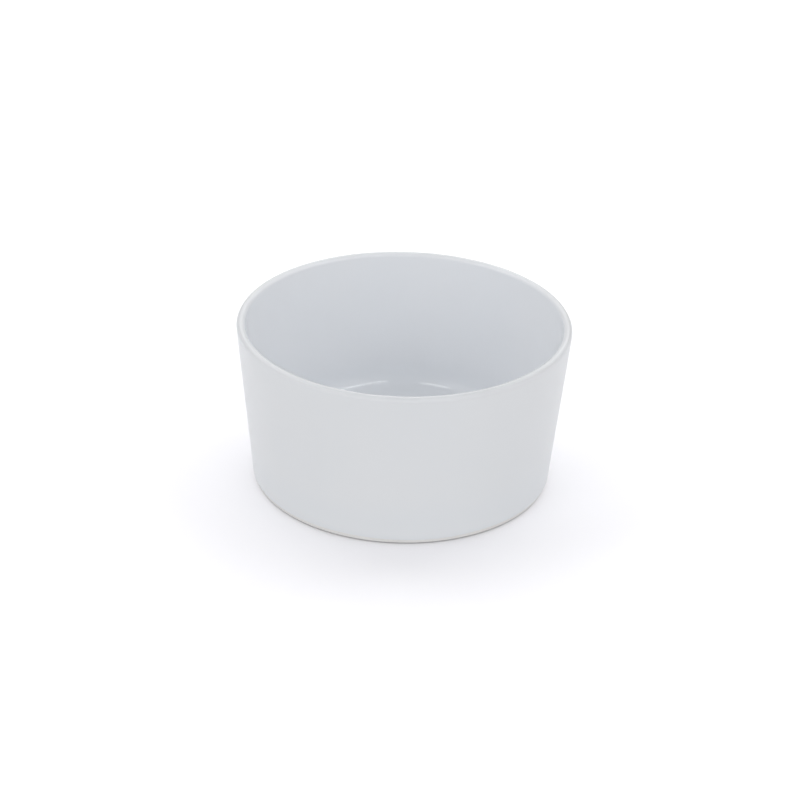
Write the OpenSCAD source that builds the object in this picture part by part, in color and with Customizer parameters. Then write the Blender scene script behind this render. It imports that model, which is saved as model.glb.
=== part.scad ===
// Low, wide porcelain crucible: a fired porcelain body with a bare foot, and the glaze that is fired onto it.
// Sizes are in millimetres. The origin is the middle of the foot, on the standing plane, with +Z up.

/* [Form] */
// Outside diameter across the lip
rim_d = 80; // [74:0.5:100]
// Height from the standing plane to the top of the lip
height = 40.6; // [30:0.2:56]
// Diameter at which the heel leaves the standing plane
foot_d = 69.5; // [56:0.5:76]

/* [Wall and floor] */
// Thickness of the glazed wall at the lip, which is rounded right over
lip_t = 2.1; // [1.6:0.1:3]
// Thickness of the glazed wall at the level of the inside floor
wall_foot_t = 2.6; // [2.1:0.1:4]
// Thickness of the glazed floor
floor_t = 3; // [2.2:0.1:5]
// Radius of the curve between the inside of the wall and the floor
corner_r = 9; // [5:0.5:13]

/* [Foot] */
// Radius of the heel between the wall and the standing plane
heel_r = 1; // [0.7:0.1:1.8]
// Width of the ring that the crucible stands on
ring_w = 4; // [2.5:0.5:8]
// Depth of the hollow inside the standing ring
hollow_h = 0.6; // [0.3:0.1:1.2]

/* [Glaze] */
// Thickness of the glaze
glaze_t = 0.25; // [0.15:0.01:0.4]
// Width of the bare band between the heel and the glaze
bare_band = 0.4; // [0.3:0.1:2]

/* [Hidden] */
$fn = 180;

// Colours of the bare porcelain and of the glaze
body_colour = [0.87, 0.85, 0.81];
glaze_colour = [0.86, 0.87, 0.89];

// Overlap that lets a straight face run cleanly into a round one
seam = 0.0005;

// Round lip, heel and standing ring, each by its centre or radius in the section
lip_r = lip_t / 2;
lip_c = [rim_d / 2 - lip_r, height - lip_r];
heel_c = [foot_d / 2, heel_r];
ring_in_r = foot_d / 2 - ring_w;
floor_z = hollow_h + floor_t;

// Lean of the outside wall, as the line that touches both the lip and the glazed heel
rise = lip_c - heel_c;
lean_out = acos((heel_r + glaze_t - lip_r) / norm(rise)) - atan2(rise[1], rise[0]);
outward = [cos(lean_out), -sin(lean_out)];
down_wall = [-sin(lean_out), -cos(lean_out)];

// Lean of the inside wall, which leaves the wall thicker at the foot than at the lip
lean_in = atan(tan(lean_out) + (wall_foot_t - lip_t) / (height - floor_z));
inward = [-cos(lean_in), sin(lean_in)];

// Centre of the inside corner, one corner radius from both the inside wall and the floor
corner_z = floor_z + corner_r;
corner_x = lip_c[0] + ((corner_z - lip_c[1]) * sin(lean_in) - lip_r - corner_r) / cos(lean_in);
corner_c = [corner_x, corner_z];

// Point on the porcelain where the glaze starts to thin out to its edge
glaze_edge = heel_c + heel_r * outward - (bare_band + glaze_t) * down_wall;

// Section of the wall and floor, with the faces that carry glaze moved in by inset
module ware_section(inset) {
    lip = lip_r - inset;
    corner = corner_r + inset;
    heel = heel_r + glaze_t - inset;
    difference() {
        union() {
            polygon([
                [0, hollow_h],
                [ring_in_r - hollow_h, hollow_h],
                [ring_in_r, 0],
                [heel_c[0], 0],
                heel_c + (heel - seam) * outward,
                lip_c + (lip - seam) * outward,
                lip_c + (lip - seam) * inward,
                corner_c - (corner - seam) * inward,
                corner_c,
                corner_c - [0, corner - seam],
                [0, floor_z - inset + seam]
            ]);
            translate(lip_c)
                circle(lip);
        }
        translate(corner_c)
            circle(corner);
    }
}

// Section of the bare porcelain, down to its rounded heel
module body_section() {
    ware_section(glaze_t);
    translate(heel_c)
        circle(heel_r);
}

// Section of everything above the line where the glaze starts to thin out
module above_glaze_edge() {
    across = glaze_t * 2;
    polygon([
        [0, glaze_edge[1]],
        glaze_edge - across * outward,
        glaze_edge + across * outward,
        [rim_d, height * 2],
        [0, height * 2]
    ]);
}

module porcelain_body() {
    color(body_colour)
        rotate_extrude()
            body_section();
}

module glaze() {
    color(glaze_colour)
        rotate_extrude()
            difference() {
                union() {
                    intersection() {
                        ware_section(0);
                        above_glaze_edge();
                    }
                    translate(glaze_edge)
                        circle(glaze_t);
                }
                body_section();
            }
}

porcelain_body();
glaze();
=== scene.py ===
import math
from collections import namedtuple

import bpy
from bpy.props import FloatProperty, FloatVectorProperty, IntProperty, PointerProperty
from bpy.types import Operator, Panel, PropertyGroup
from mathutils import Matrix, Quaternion, Vector, noise


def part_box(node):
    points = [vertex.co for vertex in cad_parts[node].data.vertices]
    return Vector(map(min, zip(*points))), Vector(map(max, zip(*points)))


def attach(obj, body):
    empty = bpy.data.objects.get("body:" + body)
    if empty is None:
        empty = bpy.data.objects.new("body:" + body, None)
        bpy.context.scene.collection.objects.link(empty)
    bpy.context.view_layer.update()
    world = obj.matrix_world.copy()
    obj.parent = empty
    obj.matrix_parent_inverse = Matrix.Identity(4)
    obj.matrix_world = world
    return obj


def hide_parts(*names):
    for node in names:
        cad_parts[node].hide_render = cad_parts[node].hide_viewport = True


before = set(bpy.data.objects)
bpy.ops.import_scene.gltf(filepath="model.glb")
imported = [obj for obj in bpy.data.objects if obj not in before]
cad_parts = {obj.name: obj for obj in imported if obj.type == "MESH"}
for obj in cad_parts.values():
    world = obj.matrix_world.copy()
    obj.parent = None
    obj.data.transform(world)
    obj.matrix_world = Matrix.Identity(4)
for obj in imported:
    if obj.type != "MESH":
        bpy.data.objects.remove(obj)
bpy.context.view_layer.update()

bl_info = {
    "name": "Porcelain Crucible",
    "version": (1, 0, 0),
    "blender": (4, 5, 0),
    "location": "View3D > Sidebar > Crucible",
    "description": "Low, wide porcelain crucible with a bare foot and a white glaze",
    "category": "Add Mesh",
}

MM = 0.001
GLAZE_LOW, GLAZE_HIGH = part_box("glaze")
BODY_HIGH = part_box("porcelain_body")[1]

# Points along each stretch of the section
LIP_POINTS = 26
INSIDE_POINTS = 44
CORNER_POINTS = 30
FLOOR_POINTS = 24
OUTSIDE_POINTS = 56
HEEL_POINTS = 16
HOLLOW_POINTS = 20
RING_POINTS = 6
BREAK_POINTS = 5
ROLL_POINTS = 9
SHARP_ANGLE = math.radians(50)

# Where the fired glaze departs from an even coat; LIP_REACH and LIP_TILT place the painted shade on the
# lip's top
WANDER_FREQUENCY = 2.2
WANDER_LAYER = 0.4
WANDER_FADE = 3 * MM
RIPPLE_FREQUENCY = 55.0
POOL_REACH = 6 * MM
EDGE_REACH = 1.2 * MM
LIP_REACH = 1.0 * MM
LIP_TILT = 0.25
SATIN_FROM, SATIN_TO = 0.1, 0.9

# Noise in the finishes, per metre, with how far it changes them
CLOUD_SCALE, CLOUD_SHARE = 42.0, 0.35
GLOSS_SCALE, GLOSS_STEP = 160.0, 0.05
SKIN_SCALE, SKIN_STRENGTH, SKIN_DEPTH = 700.0, 0.15, 0.006 * MM
GRAIN_SCALE, GRAIN_SHARE = 2600.0, 0.55
GRAIN_STRENGTH, GRAIN_DEPTH, GRAIN_STEP = 0.5, 0.03 * MM, 0.18
PATCH_SCALE, PATCH_SHARE = 90.0, 0.3
TOOLING_SCALE, TOOLING_STRENGTH, TOOLING_DEPTH = 260.0, 0.35, 0.02 * MM
GLAZE_IOR, BARE_IOR = 1.45, 1.5

# Outside the foot circle, the floor's glow sets in at the first distance and is full at the second
GLOW_EDGE = (0.2 * MM, 1.4 * MM)
FLOOR_SIDES = 96
SENSOR_WIDTH = 36.0
CLIP_START, CLIP_END = 0.01, 100.0

# Panels of the light tent: turn from the camera to the right, height, width and depth in degrees,
# radiance, whether the glaze mirrors the panel, and whether it lights the floor alone
Softbox = namedtuple("Softbox", "name azimuth elevation width depth radiance mirrored floor_only")
SOFTBOXES = (
    Softbox("front_low", 0, 11, 80, 16, 1.15, False, False),
    Softbox("right_low", 75, 11, 60, 16, 0.3, True, False),
    Softbox("left_low", -75, 11, 60, 16, 0.5, True, False),
    Softbox("front", 0, 29, 80, 18, 1.35, False, False),
    Softbox("right_strip", 45, 48, 40, 6, 5.4, True, False),
    Softbox("left_strip", -34, 48, 20, 6, 5.2, True, False),
    Softbox("right_front", 62, 34, 36, 26, 0.75, True, False),
    Softbox("left_front", -62, 34, 36, 26, 1.1, True, False),
    Softbox("right_side", 105, 48, 40, 28, 1.8, True, False),
    Softbox("left_side", -105, 48, 40, 28, 2.1, True, False),
    Softbox("back_right", 150, 38, 50, 28, 1.4, True, False),
    Softbox("back_left", -150, 38, 50, 28, 1.1, True, False),
    Softbox("floor_wash", 180, 60, 60, 45, 1.5, False, True),
)


def size(name, description, millimetres):
    """A length that the panel shows in scene units."""
    return FloatProperty(
        name=name, description=description, default=millimetres * MM, min=0,
        subtype="DISTANCE", unit="LENGTH", precision=5,
    )


def angle(name, description, degrees):
    """An angle that the panel shows in degrees."""
    return FloatProperty(
        name=name, description=description, default=math.radians(degrees), subtype="ANGLE"
    )


def share(name, description, value, top=1.0):
    """A plain number from nought to top."""
    return FloatProperty(
        name=name, description=description, default=value, min=0, max=top, subtype="FACTOR"
    )


def colour(name, description, rgb):
    """A linear colour."""
    return FloatVectorProperty(
        name=name, description=description, default=rgb, size=3, min=0, max=1, subtype="COLOR"
    )


class CrucibleSizes(PropertyGroup):
    """Sizes of the ware."""

    rim_diameter: size(
        "Rim diameter", "Outside diameter across the lip", (GLAZE_HIGH[0] - GLAZE_LOW[0]) / MM
    )
    height: size("Height", "From the standing plane to the top of the lip", GLAZE_HIGH[2] / MM)
    foot_diameter: size("Foot diameter", "Where the heel leaves the standing plane", 69.5)
    lip_thickness: size("Lip thickness", "Glazed wall at the lip, which is rounded right over", 2.1)
    wall_foot_thickness: size("Wall at the floor", "Glazed wall at the level of the inside floor", 2.6)
    floor_thickness: size("Floor thickness", "Glazed floor above the hollow of the foot", 3.0)
    corner_radius: size("Inside corner", "Curve between the inside wall and the floor", 9.0)
    heel_radius: size("Heel radius", "Curve between the outside wall and the standing plane", 1.0)
    ring_width: size("Standing ring", "Width of the ring that the ware stands on", 4.0)
    hollow_depth: size("Hollow", "Depth of the hollow inside the standing ring", 0.6)
    glaze_thickness: size("Glaze", "Thickness of the glaze", (GLAZE_HIGH[0] - BODY_HIGH[0]) / MM)
    bare_band: size("Bare band", "Bare porcelain between the heel and the glaze", 0.4)
    edge_break: size("Broken edges", "Rounding of the edges of the standing ring", 0.12)
    steps: IntProperty(name="Steps", description="Faces round the ware", default=256, min=32)


class CrucibleFinish(PropertyGroup):
    """Colours and surface of the glaze and of the bare porcelain."""

    glaze_colour: colour("Glaze", "Glaze over the wall", (0.79, 0.805, 0.83))
    pooled_colour: colour(
        "Pooled glaze", "Glaze where it gathers, in the corner and above the bare band",
        (0.765, 0.79, 0.825),
    )
    # Painted shade: the lip's top gets a darker glaze than the wall, standing in for less light falling
    # there; the glaze also thins over the lip
    lip_shade_colour: colour("Lip glaze, painted shade", "Glaze over the lip, darkened on top as painted shade where it thins", (0.64, 0.65, 0.67))
    bare_colour: colour("Bare porcelain", "Fired porcelain without glaze", (0.80, 0.797, 0.79))
    grain_colour: colour("Grain", "Darker grain of the bare porcelain", (0.70, 0.695, 0.685))
    glaze_roughness: share("Glaze roughness", "Smooth glaze, on the lip and inside", 0.11)
    satin_roughness: share("Satin roughness", "Duller glaze, on the outside wall", 0.34)
    bare_roughness: share("Bare roughness", "Bare porcelain", 0.62)
    ripple: size("Ripple", "How far the fired glaze sinks in its shallow ripples", 0.03)
    edge_wander: size("Edge wander", "How far the glaze's lower edge wanders", 0.14)


class CrucibleStage(PropertyGroup):
    """Camera, lights and floor."""

    lens: FloatProperty(
        name="Lens", description="Focal length in millimetres", default=120.0, unit="CAMERA"
    )
    camera_distance: size("Distance", "Camera to the point that it looks at", 644.6)
    camera_elevation: angle("Elevation", "Height of the camera above the horizon", 27.86)
    camera_roll: angle("Roll", "Turn of the camera about its own axis", 1.52)
    aim: FloatVectorProperty(
        name="Aim", description="Point that the camera looks at", default=(-0.0006, 0, 0.0192),
        subtype="XYZ", unit="LENGTH", precision=5,
    )
    floor_reach: size("Floor reach", "Radius of the round floor", 700)
    floor_colour: colour("Floor", "Pale floor, as it is seen", (0.91, 0.905, 0.93))
    floor_glow: share(
        "Floor glow", "Even light that the floor gives the ware, as a light table does", 0.70
    )
    sky_strength: share("Sky", "Even light from all round", 0.15, 4.0)
    softbox_strength: share("Softboxes", "Strength of all the softboxes together", 1.0, 10.0)
    softbox_distance: size("Softbox distance", "From the ware to each softbox", 1200)


def arc(centre, radius, start, end, count):
    """Points on an arc from the angle start to the angle end."""
    turns = [start + (end - start) * i / (count - 1) for i in range(count)]
    return [centre + radius * Vector((math.cos(a), math.sin(a))) for a in turns]


def line(a, b, count):
    """Points on a straight line, both ends included."""
    return [a.lerp(b, i / (count - 1)) for i in range(count)]


def rounded(before, corner, after, radius):
    """Points that round a corner of the section between its two neighbours."""
    a, b = (before - corner).normalized(), (after - corner).normalized()
    start, end = corner + a * radius, corner + b * radius
    steps = [i / (BREAK_POINTS - 1) for i in range(BREAK_POINTS)]
    return [start.lerp(corner, t).lerp(corner.lerp(end, t), t) for t in steps]


def normals(points):
    """Unit normals of the section, on the right-hand side of its run."""
    out = []
    for i in range(len(points)):
        run = points[min(i + 1, len(points) - 1)] - points[max(i - 1, 0)]
        out.append(Vector((run.y, -run.x)).normalized() if run.length else Vector((0, 1)))
    return out


def turned(point, a):
    """A section point turned about the axis."""
    return Vector((point.x * math.cos(a), point.x * math.sin(a), point.y))


def bell(distance, width):
    """A smooth hump, 1 at nought and fading over width."""
    return math.exp(-(distance / width) ** 2)


def clamped(value):
    """The value, held between nought and 1."""
    return min(max(value, 0.0), 1.0)


class Section:
    """Half section of the ware through its axis, as points of (radius, height)."""

    def __init__(self, s):
        self.s = s
        self.lip_radius = s.lip_thickness / 2
        self.lip = Vector((s.rim_diameter / 2 - self.lip_radius, s.height - self.lip_radius))
        self.heel = Vector((s.foot_diameter / 2, s.heel_radius))
        self.floor = s.hollow_depth + s.floor_thickness
        rise = self.lip - self.heel
        reach = s.heel_radius + s.glaze_thickness - self.lip_radius
        self.lean_out = math.acos(reach / rise.length) - math.atan2(rise.y, rise.x)
        growth = (s.wall_foot_thickness - s.lip_thickness) / (s.height - self.floor)
        self.lean_in = math.atan(math.tan(self.lean_out) + growth)
        z = self.floor + s.corner_radius
        drop = (z - self.lip.y) * math.sin(self.lean_in) - self.lip_radius - s.corner_radius
        self.corner = Vector((self.lip.x + drop / math.cos(self.lean_in), z))
        self.outward = Vector((math.cos(self.lean_out), -math.sin(self.lean_out)))
        self.up_wall = Vector((math.sin(self.lean_out), math.cos(self.lean_out)))
        start = self.heel + s.heel_radius * self.outward
        self.edge = start + (s.bare_band + s.glaze_thickness) * self.up_wall

    def lip_and_inside(self, inset):
        """From the outside end of the lip over it, down the inside and along the floor to the axis."""
        lip = arc(self.lip, self.lip_radius - inset, -self.lean_out, math.pi - self.lean_in, LIP_POINTS)
        bend = self.s.corner_radius + inset
        corner = arc(self.corner, bend, -self.lean_in, -math.pi / 2, CORNER_POINTS)
        floor = line(corner[-1], Vector((0, self.floor - inset)), FLOOR_POINTS)
        return lip + line(lip[-1], corner[0], INSIDE_POINTS)[1:-1] + corner + floor[1:]

    def outside(self, low, inset):
        """Up the outside wall from low to the lip, without the lip's first point."""
        top = self.lip + (self.lip_radius - inset) * self.outward
        return line(low, top, OUTSIDE_POINTS)[:-1]


def lathe(name, section, steps, place):
    """A closed mesh turned from a section that starts and ends on the axis."""
    last = len(section) - 1
    rings = [[place(i, 2 * math.pi * k / steps) for k in range(steps)] for i in range(1, last)]
    verts = [place(0, 0)] + [v for ring in rings for v in ring] + [place(last, 0)]
    end = len(verts) - 1

    def at(i, k):
        return 1 + i * steps + k % steps

    faces = [(0, at(0, k + 1), at(0, k)) for k in range(steps)]
    faces += [
        (at(i, k), at(i, k + 1), at(i + 1, k + 1), at(i + 1, k))
        for i in range(len(rings) - 1) for k in range(steps)
    ]
    faces += [(end, at(len(rings) - 1, k), at(len(rings) - 1, k + 1)) for k in range(steps)]
    mesh = bpy.data.meshes.new(name)
    mesh.from_pydata(verts, [], faces)
    if mesh.validate():
        raise ValueError(f"{name} has faces that can't be used")
    mesh.shade_smooth()
    mesh.set_sharp_from_angle(angle=SHARP_ANGLE)
    piece = bpy.data.objects.new(name, mesh)
    bpy.context.scene.collection.objects.link(piece)
    return piece


def ring_values(piece, name, values, steps):
    """Store one value for each point of the section on a turned mesh."""
    layer = piece.data.attributes.new(name, "FLOAT", "POINT")
    spread = [values[0]] + [v for v in values[1:-1] for _ in range(steps)] + [values[-1]]
    layer.data.foreach_set("value", spread)


class Nodes:
    """A node tree, and the few kinds of node that the ware and the stage use."""

    def __init__(self, tree):
        self.tree = tree

    def node(self, kind, **inputs):
        """A new node with its inputs set or linked by name, where _ stands for a space."""
        made = self.tree.nodes.new(kind)
        for name, value in inputs.items():
            self.put(made.inputs[name.replace("_", " ")], value)
        return made

    def put(self, socket, value):
        """Link the socket to another one, or set it to a number or colour."""
        if isinstance(value, bpy.types.NodeSocket):
            self.tree.links.new(value, socket)
        else:
            socket.default_value = value

    def place(self):
        """Coordinates of the piece itself."""
        return self.node("ShaderNodeTexCoord").outputs["Object"]

    def attribute(self, name):
        """A value that is stored on the mesh."""
        made = self.node("ShaderNodeAttribute")
        made.attribute_name = name
        return made.outputs["Fac"]

    def noise(self, scale, detail=2.0, roughness=0.5):
        """Cloudy noise about a half."""
        made = self.node(
            "ShaderNodeTexNoise", Vector=self.place(), Scale=scale, Detail=detail, Roughness=roughness
        )
        return made.outputs["Fac"]

    def ramp(self, value, span, result):
        """Carry a value smoothly from one span over to another."""
        made = self.node(
            "ShaderNodeMapRange", Value=value, From_Min=span[0], From_Max=span[1],
            To_Min=result[0], To_Max=result[1],
        )
        made.interpolation_type = "SMOOTHSTEP"
        return made.outputs["Result"]

    def mix(self, factor, a, b):
        """A colour between a and b."""
        made = self.node("ShaderNodeMix")
        made.data_type = "RGBA"
        self.put(made.inputs["Factor"], factor)
        for socket, value in zip([i for i in made.inputs if i.type == "RGBA"], (a, b)):
            self.put(socket, value if isinstance(value, bpy.types.NodeSocket) else (*value, 1))
        return [o for o in made.outputs if o.type == "RGBA"][0]

    def bump(self, height, strength, depth, under=None):
        """A surface raised by a height, on top of another bump where one is given."""
        made = self.node("ShaderNodeBump", Height=height, Strength=strength, Distance=depth)
        if under:
            self.put(made.inputs["Normal"], under)
        return made.outputs["Normal"]

    def seen(self):
        """1 for rays from the camera, and for those that come by reflection or through glass."""
        path = self.node("ShaderNodeLightPath")
        total = path.outputs["Is Camera Ray"]
        for name in ("Is Glossy Ray", "Is Transmission Ray"):
            both = self.node("ShaderNodeMath")
            both.operation = "MAXIMUM"
            self.put(both.inputs[0], total)
            self.put(both.inputs[1], path.outputs[name])
            total = both.outputs[0]
        return total

    def given_and_seen(self, giving, showing):
        """One shader for the light that a surface gives, and another for where it is seen."""
        made = self.node("ShaderNodeMixShader", Fac=self.seen())
        self.put(made.inputs[1], giving.outputs[0])
        self.put(made.inputs[2], showing.outputs[0])
        return made.outputs[0]


class Finish(Nodes):
    """A material of the ware."""

    def __init__(self, name):
        self.material = bpy.data.materials.new(name)
        self.material.use_nodes = True
        super().__init__(self.material.node_tree)

    def finished(self, **inputs):
        """The material, with its surface's inputs set or linked by name."""
        surface = self.tree.nodes["Principled BSDF"]
        for name, value in inputs.items():
            self.put(surface.inputs[name.replace("_", " ")], value)
        return self.material


def glaze_material(f):
    """White glaze: cooler where it pools, darker on the lip's top as painted shade where it also thins,
    duller outside, faintly clouded.
    """
    m = Finish("white_glaze")
    depth = m.attribute("glaze_depth_and_lip_shade")
    pooled = m.mix(m.ramp(depth, (0.5, 1.0), (0.0, 1.0)), f.glaze_colour, f.pooled_colour)
    # Painted shade: towards the lip's top the colour goes over to the darker lip shade colour
    coat = m.mix(m.ramp(depth, (0.0, 0.5), (1.0, 0.0)), pooled, f.lip_shade_colour)
    cloud = m.ramp(m.noise(CLOUD_SCALE), (0.3, 0.7), (0.0, CLOUD_SHARE))
    patches = m.noise(GLOSS_SCALE, detail=3.0)
    smooth, satin = (
        m.ramp(patches, (0.3, 0.7), (level, level + GLOSS_STEP))
        for level in (f.glaze_roughness, f.satin_roughness)
    )
    rough = m.ramp(m.attribute("glaze_outside"), (0.0, 1.0), (smooth, satin))
    skin = m.bump(m.noise(SKIN_SCALE, detail=1.0), SKIN_STRENGTH, SKIN_DEPTH)
    base = m.mix(cloud, coat, f.pooled_colour)
    return m.finished(Base_Color=base, Roughness=rough, Normal=skin, IOR=GLAZE_IOR)


def bare_material(f):
    """Fired porcelain without glaze: matt and finely grained, with faint rings from turning."""
    m = Finish("bare_porcelain")
    grain = m.noise(GRAIN_SCALE, detail=3.0, roughness=0.6)
    patches = m.ramp(m.noise(PATCH_SCALE), (0.35, 0.7), (0.0, PATCH_SHARE))
    clay = m.mix(patches, f.bare_colour, f.grain_colour)
    base = m.mix(m.ramp(grain, (0.45, 0.75), (0.0, GRAIN_SHARE)), clay, f.grain_colour)
    rings = m.node(
        "ShaderNodeTexWave", Vector=m.place(), Scale=TOOLING_SCALE, Distortion=1.2, Detail=2.0
    )
    rings.wave_type = "RINGS"
    rings.rings_direction = "Z"
    tooling = m.bump(rings.outputs["Fac"], TOOLING_STRENGTH, TOOLING_DEPTH)
    surface = m.bump(grain, GRAIN_STRENGTH, GRAIN_DEPTH, tooling)
    rough = m.ramp(grain, (0.3, 0.8), (f.bare_roughness, f.bare_roughness + GRAIN_STEP))
    return m.finished(Base_Color=base, Roughness=rough, Normal=surface, IOR=BARE_IOR)


class CRUCIBLE_OT_porcelain(Operator):
    """Turn the porcelain body with its bare heel and standing ring."""

    bl_idname = "crucible.porcelain"
    bl_label = "Porcelain body"

    def execute(self, context):
        s = context.scene.crucible_sizes
        section = Section(s)
        g = s.glaze_thickness
        inner = s.foot_diameter / 2 - s.ring_width
        middle = Vector((0, s.hollow_depth))
        hollow_end = Vector((inner - s.hollow_depth, s.hollow_depth))
        ring_start, ring_end = Vector((inner, 0)), Vector((section.heel.x, 0))
        under = line(middle, hollow_end, HOLLOW_POINTS)[:-1]
        under += rounded(middle, hollow_end, ring_start, s.edge_break)
        under += rounded(hollow_end, ring_start, ring_end, s.edge_break)
        under += line(under[-1], ring_end, RING_POINTS)[1:-1]
        heel = arc(section.heel, s.heel_radius, -math.pi / 2, -section.lean_out, HEEL_POINTS)
        points = under + heel + section.outside(heel[-1], g)[1:] + section.lip_and_inside(g)
        piece = lathe("porcelain_body_fired", points, s.steps, lambda i, a: turned(points[i], a))
        piece.data.materials.append(bare_material(context.scene.crucible_finish))
        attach(piece, "root")
        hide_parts("porcelain_body")
        return {"FINISHED"}


class CRUCIBLE_OT_glaze(Operator):
    """Coat the porcelain with glaze, from the bare band over the lip to the middle of the floor."""

    bl_idname = "crucible.glaze"
    bl_label = "Glaze"

    def execute(self, context):
        s, f = context.scene.crucible_sizes, context.scene.crucible_finish
        section = Section(s)
        g = s.glaze_thickness
        roll = arc(section.edge, g, -section.lean_out - math.pi / 2, -section.lean_out, ROLL_POINTS)
        face = roll + section.outside(roll[-1], 0)[1:] + section.lip_and_inside(0)
        back = section.outside(roll[0], g) + section.lip_and_inside(g)
        points = back[:0:-1] + face
        hidden = len(back) - 1
        outward = normals(points)

        def place(i, a):
            p = points[i].copy()
            near = points[i] - section.edge
            if p.x > section.corner.x and abs(near.dot(section.outward)) < 2 * g:
                along = WANDER_FREQUENCY * math.cos(a), WANDER_FREQUENCY * math.sin(a)
                wander = noise.noise(Vector((*along, WANDER_LAYER)))
                fade = bell(max(near.dot(section.up_wall), 0), WANDER_FADE)
                p += section.up_wall * f.edge_wander * wander * fade
            if i > hidden:
                sink = 0.5 + 0.5 * noise.noise(turned(p, a) * RIPPLE_FREQUENCY)
                p -= outward[i] * f.ripple * clamped(sink)
            return turned(p, a)

        piece = lathe("glaze_coat", points, s.steps, place)
        ring_values(piece, "glaze_depth_and_lip_shade", [self.depth(section, p) for p in points], s.steps)
        ring_values(piece, "glaze_outside", [self.satin(n) for n in outward], s.steps)
        piece.data.materials.append(glaze_material(f))
        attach(piece, "root")
        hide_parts("glaze")
        return {"FINISHED"}

    def depth(self, section, p):
        """How deep the glaze has run: 0 on the lip's top, which is darkened there as painted shade, a
        half on the wall, 1 where it gathers.
        """
        downhill = Vector((1, -1)).normalized()
        pool = section.corner + section.s.corner_radius * downhill
        crest = section.lip + section.lip_radius * Vector((math.sin(LIP_TILT), math.cos(LIP_TILT)))
        gathered = max(bell((p - pool).length, POOL_REACH), bell((p - section.edge).length, EDGE_REACH))
        # Painted shade on the lip's crest, where the glaze also thins
        crest_shade = bell((p - crest).length, LIP_REACH)
        return 0.5 + 0.5 * gathered - 0.5 * crest_shade

    def satin(self, normal):
        """1 on the outside wall, fading to 0 over the lip."""
        return clamped((normal.x - SATIN_FROM) / (SATIN_TO - SATIN_FROM))


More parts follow.
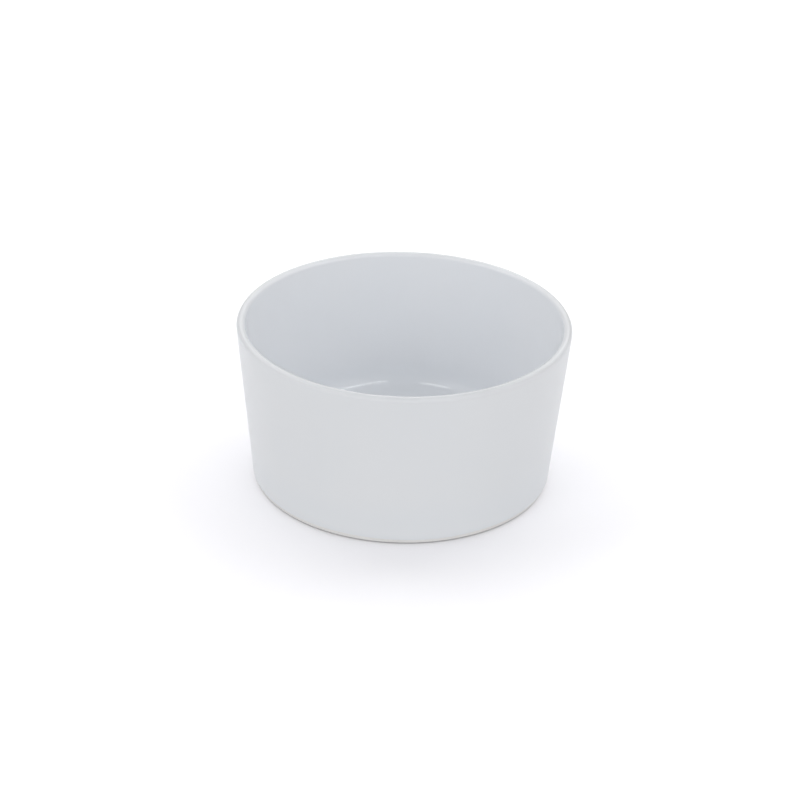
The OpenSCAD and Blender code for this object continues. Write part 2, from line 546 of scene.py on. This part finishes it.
class CRUCIBLE_OT_stage(Operator):
    """Set the pale floor, the soft light and the camera."""

    bl_idname = "crucible.stage"
    bl_label = "Stage"

    def execute(self, context):
        t = context.scene.crucible_stage
        floor = self.floor(context, t)
        self.sky(context, t)
        for box in SOFTBOXES:
            lamp = self.softbox(context, t, box)
            if box.floor_only:
                lit = bpy.data.collections.new(box.name)
                lit.objects.link(floor)
                lamp.light_linking.receiver_collection = lit
        self.camera(context, t)
        context.scene.view_settings.view_transform = "Standard"
        return {"FINISHED"}

    def floor(self, context, t):
        """A round floor that the ware stands on."""
        mesh = bpy.data.meshes.new("floor")
        rim = Vector((t.floor_reach, 0))
        corners = [turned(rim, 2 * math.pi * k / FLOOR_SIDES) for k in range(FLOOR_SIDES)]
        mesh.from_pydata(corners, [], [range(FLOOR_SIDES)])
        plane = bpy.data.objects.new("floor", mesh)
        context.scene.collection.objects.link(plane)
        foot = context.scene.crucible_sizes.foot_diameter / 2
        mesh.materials.append(self.floor_material(t, foot))
        return plane

    def floor_material(self, t, foot):
        """Plain and shadowed where it is seen, with an even glow that fades out under the heel."""
        material = bpy.data.materials.new("pale_floor")
        material.use_nodes = True
        material.node_tree.nodes.clear()
        # Only rays that leave the ware find the glow, so it doesn't count as a lamp
        material.cycles.emission_sampling = "NONE"
        m = Nodes(material.node_tree)
        away = m.node("ShaderNodeVectorMath", Vector=m.place())
        away.operation = "LENGTH"
        edge = [foot + gap for gap in GLOW_EDGE]
        strength = m.ramp(away.outputs["Value"], edge, (0.0, t.floor_glow))
        glow = m.node("ShaderNodeEmission", Strength=strength)
        cloth = m.node("ShaderNodeBsdfDiffuse", Color=(*t.floor_colour, 1))
        m.node("ShaderNodeOutputMaterial", Surface=m.given_and_seen(glow, cloth))
        return material

    def sky(self, context, t):
        """White all round where it is seen, and a weak even light."""
        world = context.scene.world or bpy.data.worlds.new("sky")
        context.scene.world = world
        world.use_nodes = True
        world.node_tree.nodes.clear()
        m = Nodes(world.node_tree)
        light, white = (
            m.node("ShaderNodeBackground", Color=(1, 1, 1, 1), Strength=strength)
            for strength in (t.sky_strength, 1.0)
        )
        m.node("ShaderNodeOutputWorld", Surface=m.given_and_seen(light, white))

    def softbox(self, context, t, box):
        """One panel of the light tent, facing the ware."""
        data = bpy.data.lights.new(box.name, "AREA")
        data.shape = "RECTANGLE"
        data.size = 2 * t.softbox_distance * math.tan(math.radians(box.width) / 2)
        data.size_y = 2 * t.softbox_distance * math.tan(math.radians(box.depth) / 2)
        data.energy = t.softbox_strength * box.radiance * math.pi * data.size * data.size_y
        lamp = bpy.data.objects.new(box.name, data)
        away = self.towards(math.radians(box.azimuth), math.radians(box.elevation))
        lamp.location = Vector(t.aim) + away * t.softbox_distance
        lamp.rotation_euler = (-away).to_track_quat("-Z", "Y").to_euler()
        lamp.visible_camera = False
        lamp.visible_glossy = box.mirrored
        context.scene.collection.objects.link(lamp)
        return lamp

    def camera(self, context, t):
        """The camera, in front of the ware and looking down at it."""
        data = bpy.data.cameras.new("camera")
        data.sensor_width = SENSOR_WIDTH
        data.lens = t.lens
        data.clip_start, data.clip_end = CLIP_START, CLIP_END
        camera = bpy.data.objects.new("camera", data)
        back = self.towards(0, t.camera_elevation)
        camera.location = Vector((0, 0, t.aim[2])) + back * t.camera_distance
        look = (Vector(t.aim) - camera.location).to_track_quat("-Z", "Y")
        camera.rotation_euler = (look @ Quaternion((0, 0, 1), t.camera_roll)).to_euler()
        context.scene.collection.objects.link(camera)
        context.scene.camera = camera

    def towards(self, azimuth, elevation):
        """Direction from the ware, turned to the right from the camera and raised above the horizon."""
        flat = math.cos(elevation)
        return Vector((math.sin(azimuth) * flat, -math.cos(azimuth) * flat, math.sin(elevation)))


class CRUCIBLE_PT_panel(Panel):
    """The crucible's sizes, finish and stage."""

    bl_idname = "CRUCIBLE_PT_panel"
    bl_label = "Porcelain crucible"
    bl_space_type = "VIEW_3D"
    bl_region_type = "UI"
    bl_category = "Crucible"

    def draw(self, context):
        scene = context.scene
        for group in (scene.crucible_sizes, scene.crucible_finish, scene.crucible_stage):
            box = self.layout.box()
            for name in group.__annotations__:
                box.prop(group, name)
        for operator in (CRUCIBLE_OT_porcelain, CRUCIBLE_OT_glaze, CRUCIBLE_OT_stage):
            self.layout.operator(operator.bl_idname)


CLASSES = (
    CrucibleSizes, CrucibleFinish, CrucibleStage,
    CRUCIBLE_OT_porcelain, CRUCIBLE_OT_glaze, CRUCIBLE_OT_stage,
    CRUCIBLE_PT_panel,
)


def register():
    for item in CLASSES:
        bpy.utils.register_class(item)
    bpy.types.Scene.crucible_sizes = PointerProperty(type=CrucibleSizes)
    bpy.types.Scene.crucible_finish = PointerProperty(type=CrucibleFinish)
    bpy.types.Scene.crucible_stage = PointerProperty(type=CrucibleStage)


def unregister():
    for name in ("crucible_sizes", "crucible_finish", "crucible_stage"):
        delattr(bpy.types.Scene, name)
    for item in reversed(CLASSES):
        bpy.utils.unregister_class(item)


def main():
    register()
    bpy.ops.crucible.porcelain()
    bpy.ops.crucible.glaze()
    bpy.ops.crucible.stage()


if __name__ == "__main__":
    main()
